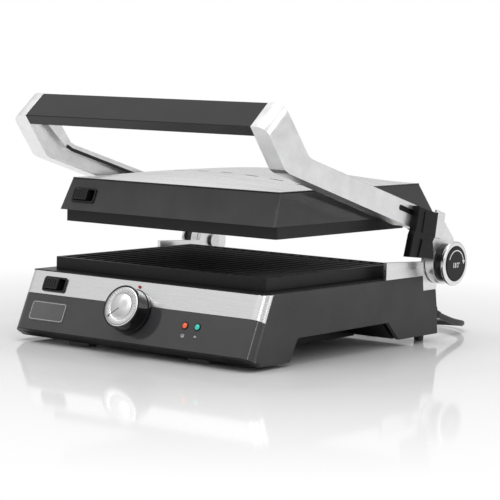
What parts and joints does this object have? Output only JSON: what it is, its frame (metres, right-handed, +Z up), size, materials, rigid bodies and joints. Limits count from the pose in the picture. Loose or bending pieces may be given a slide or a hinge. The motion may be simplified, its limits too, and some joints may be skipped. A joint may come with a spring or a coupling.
{
  "type": "contact grill",
  "caption": "Panini press with ribbed plates, leaning front, dog-leg arm handle with floating lid, fold-flat hinges, thermostat knob and mains lead.",
  "frame": {"origin": "floor level, under the middle of the appliance", "axes": "+X to the right seen from the front, +Y to the back, +Z up"},
  "size_m": [0.3828, 0.5197, 0.271],
  "materials": {
    "side_plastic": "fine grained dark grey",
    "brushed_band": "brushed along the width",
    "gloss_fascia": "high gloss near black",
    "lip_plastic": "black",
    "deck_plastic": "satin black",
    "foot_rubber": "matt",
    "badge": "satin",
    "index_red": "printed dot",
    "nonstick": "black non-stick coating on cast aluminium",
    "heater_tube": "dull",
    "reflector": "pressed sheet",
    "switch_body": "moulded",
    "board": "circuit board",
    "lamp_red": "translucent lens",
    "lamp_green": "translucent lens",
    "latch_plastic": "satin black",
    "knob_gloss": "gloss black",
    "spun_disc": "spun",
    "shaft_steel": "turned",
    "bracket_steel": "satin",
    "drum_plastic": "satin black",
    "ring_chrome": "polished",
    "button_face": "fine grain",
    "arm_metal": "satin silver",
    "grip_satin": "satin soft-touch",
    "lock_plastic": "satin black",
    "shell_gloss": "dark grey gloss",
    "cover_steel": "brushed",
    "cord_rubber": "black sheath",
    "tie_plastic": "black",
    "pin_brass": "plated"
  },
  "bodies": {
    "base": {"base_left_side": "side_plastic", "base_right_side": "side_plastic", "front_steel_band": "brushed_band", "front_fascia": "gloss_fascia", "front_lip": "lip_plastic", "base_deck": "deck_plastic", "base_rear_panel": "lip_plastic", "base_bottom_cover": "lip_plastic", "rubber_feet_front": "foot_rubber", "rubber_feet_rear": "foot_rubber", "badge_plate": "badge", "index_dot": "index_red", "lower_plate": "nonstick", "lower_heater": "heater_tube", "lower_reflector": "reflector", "thermostat": "switch_body", "lamp_board": "board", "lamp_power": "lamp_red", "lamp_ready": "lamp_green", "terminal_block": "switch_body", "lower_latch_frame": "latch_plastic", "hinge_bracket_right": "bracket_steel", "hinge_bracket_left": "bracket_steel", "strain_relief": "cord_rubber", "cord_coil": "cord_rubber", "power_cord": "cord_rubber", "cable_tie": "tie_plastic", "plug": "cord_rubber", "plug_pins": "pin_brass"},
    "knob": {"knob_body": "knob_gloss", "knob_disc": "spun_disc", "knob_shaft": "shaft_steel"},
    "lower_release": {"lower_latch": "latch_plastic"},
    "carrier": {"hinge_pin_right": "shaft_steel", "hinge_pin_left": "shaft_steel", "hinge_drum_right": "drum_plastic", "hinge_drum_left": "drum_plastic", "hinge_ring_right": "ring_chrome", "hinge_ring_left": "ring_chrome", "hinge_cap_left": "button_face"},
    "flat_release": {"release_button": "button_face"},
    "handle": {"arm_right": "arm_metal", "arm_left": "arm_metal", "arm_trim_right": "lip_plastic", "arm_trim_left": "lip_plastic", "grip": "grip_satin", "lock_strap": "bracket_steel"},
    "height_stop": {"height_lock": "lock_plastic", "height_lock_pin": "shaft_steel"},
    "float": {"float_shaft": "shaft_steel"},
    "lid": {"upper_shell": "shell_gloss", "top_cover": "cover_steel", "upper_plate": "nonstick", "upper_heater": "heater_tube", "upper_reflector": "reflector", "upper_latch_frame": "latch_plastic"},
    "upper_release": {"upper_latch": "latch_plastic"}
  },
  "joints": [
    {"name": "lid_open", "type": "hinge", "parent": "base", "child": "carrier", "pos_m": [0, 0.16525, 0.09], "axis": [-1, 0, 0], "range_deg": [0, 160]},
    {"name": "press_down", "type": "hinge", "parent": "carrier", "child": "handle", "pos_m": [0, 0.16525, 0.09], "axis": [-1, 0, 0], "range_deg": [-15.3, 0]},
    {"name": "plate_level", "type": "hinge", "parent": "handle", "child": "float", "pos_m": [0, 0.02925, 0.168], "axis": [-1, 0, 0], "range_deg": [0, 15.3]},
    {"name": "plate_flat", "type": "hinge", "parent": "float", "child": "lid", "pos_m": [0, 0.02925, 0.168], "axis": [-1, 0, 0], "range_deg": [0, 20]},
    {"name": "thermostat_turn", "type": "hinge", "parent": "base", "child": "knob", "pos_m": [-0.002, -0.16253, 0.0445], "axis": [0, -0.9162, 0.4008], "range_deg": [-135, 135]},
    {"name": "lower_plate_release", "type": "slide", "parent": "base", "child": "lower_release", "axis": [1, 0, 0], "range_m": [0, 0.004], "stiffness_N_per_m": 400},
    {"name": "upper_plate_release", "type": "slide", "parent": "lid", "child": "upper_release", "axis": [1, 0, 0], "range_m": [0, 0.004], "stiffness_N_per_m": 400},
    {"name": "flat_release_press", "type": "slide", "parent": "carrier", "child": "flat_release", "axis": [-1, 0, 0], "range_m": [0, 0.003], "stiffness_N_per_m": 600},
    {"name": "height_lock_slide", "type": "slide", "parent": "handle", "child": "height_stop", "axis": [0, -0.9615, 0.2747], "range_m": [0, 0.022]}
  ],
  "couplings": [
    {"joint": "plate_level", "follows": "press_down", "ratio": -1},
    {"joint": "plate_flat", "follows": "lid_open", "ratio": 0.12499}
  ]
}
